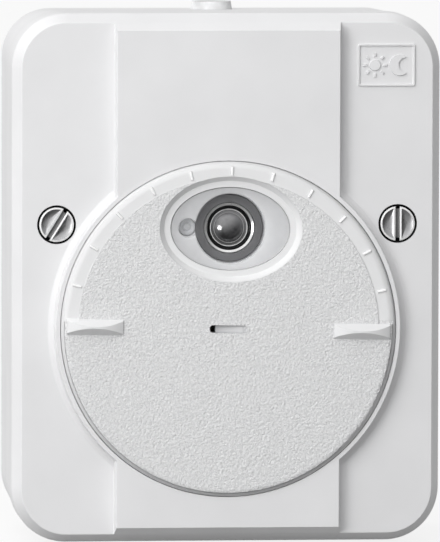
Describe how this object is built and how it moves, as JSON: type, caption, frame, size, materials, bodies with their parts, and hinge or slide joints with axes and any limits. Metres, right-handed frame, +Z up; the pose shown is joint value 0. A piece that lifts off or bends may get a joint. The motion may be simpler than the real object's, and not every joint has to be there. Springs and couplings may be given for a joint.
{
  "type": "twilight switch",
  "caption": "Wall-mounted twilight switch: bevelled two-part housing with a turning dial that carries an oval window over a light sensor.",
  "frame": {"origin": "centre of the housing's back, on the wall", "axes": "+X to the user's right, +Z up, +Y into the wall, so the front faces -Y"},
  "size_m": [0.0832, 0.0502, 0.1042],
  "materials": {
    "housing": "fine-grained white moulding",
    "dial_plastic": "leather-grained white moulding with a smooth scale ring",
    "seal_rubber": "black rubber",
    "grommet_rubber": "light grey rubber",
    "bright_steel": "bright plated steel",
    "spring_steel": "dull spring steel",
    "brown_board": "brown paper laminate",
    "green_board": "green lacquered laminate",
    "terminal_plastic": "grey moulding",
    "brass": "plain brass",
    "relay_case": "blue moulding",
    "capacitor_case": "yellow case",
    "capacitor_sleeve": "dark sleeve",
    "varistor_coating": "blue dipped coating",
    "black_plastic": "black moulding",
    "resistor_coating": "tan coating",
    "window_glass": "clear moulding",
    "tray_plastic": "light grey moulding",
    "mask_plastic": "dark grey moulding",
    "can_metal": "bright plated can",
    "barrel_plastic": "glossy black",
    "lens_glass": "smoky glass",
    "chip_silicon": "dark silicon",
    "lamp_resin": "water-clear resin",
    "rotor_plastic": "natural moulding",
    "lead_rubber": "grey flat lead"
  },
  "bodies": {
    "housing": {"base_box": "housing", "cover": "housing", "cover_gasket": "seal_rubber", "cover_screws": "bright_steel", "screw_seal_rings": "seal_rubber", "cable_grommet_top": "grommet_rubber", "cable_grommet_bottom": "grommet_rubber", "power_board": "brown_board", "power_board_screws": "bright_steel", "terminal_block": "terminal_plastic", "terminal_cages": "brass", "terminal_screws": "bright_steel", "relay": "relay_case", "film_capacitor": "capacitor_case", "electrolytic_capacitor": "capacitor_sleeve", "varistor": "varistor_coating", "bridge_rectifier": "black_plastic", "resistors": "resistor_coating", "fuse": "black_plastic", "link_header": "black_plastic", "link_pins": "brass", "link_socket": "black_plastic", "control_board": "green_board", "control_board_screws": "bright_steel", "comparator_chip": "black_plastic", "relay_driver": "black_plastic", "potentiometer_body": "black_plastic"},
    "dial_assembly": {"dial": "dial_plastic", "dial_window": "window_glass", "sensor_plate": "tray_plastic", "sensor_mask": "mask_plastic", "photocell_can": "can_metal", "photocell_barrel": "barrel_plastic", "photocell_lens": "lens_glass", "photocell_chip": "chip_silicon", "photocell_leads": "brass", "indicator_led": "lamp_resin", "sensor_board": "green_board", "hub_seal_ring": "seal_rubber", "dial_retaining_ring": "spring_steel", "potentiometer_rotor": "rotor_plastic", "sensor_lead": "lead_rubber"}
  },
  "joints": [
    {"name": "dial_turn", "type": "hinge", "parent": "housing", "child": "dial_assembly", "pos_m": [0, 0, -0.0096], "axis": [0, 1, 0], "range_deg": [-76.2, 73.8]}
  ]
}
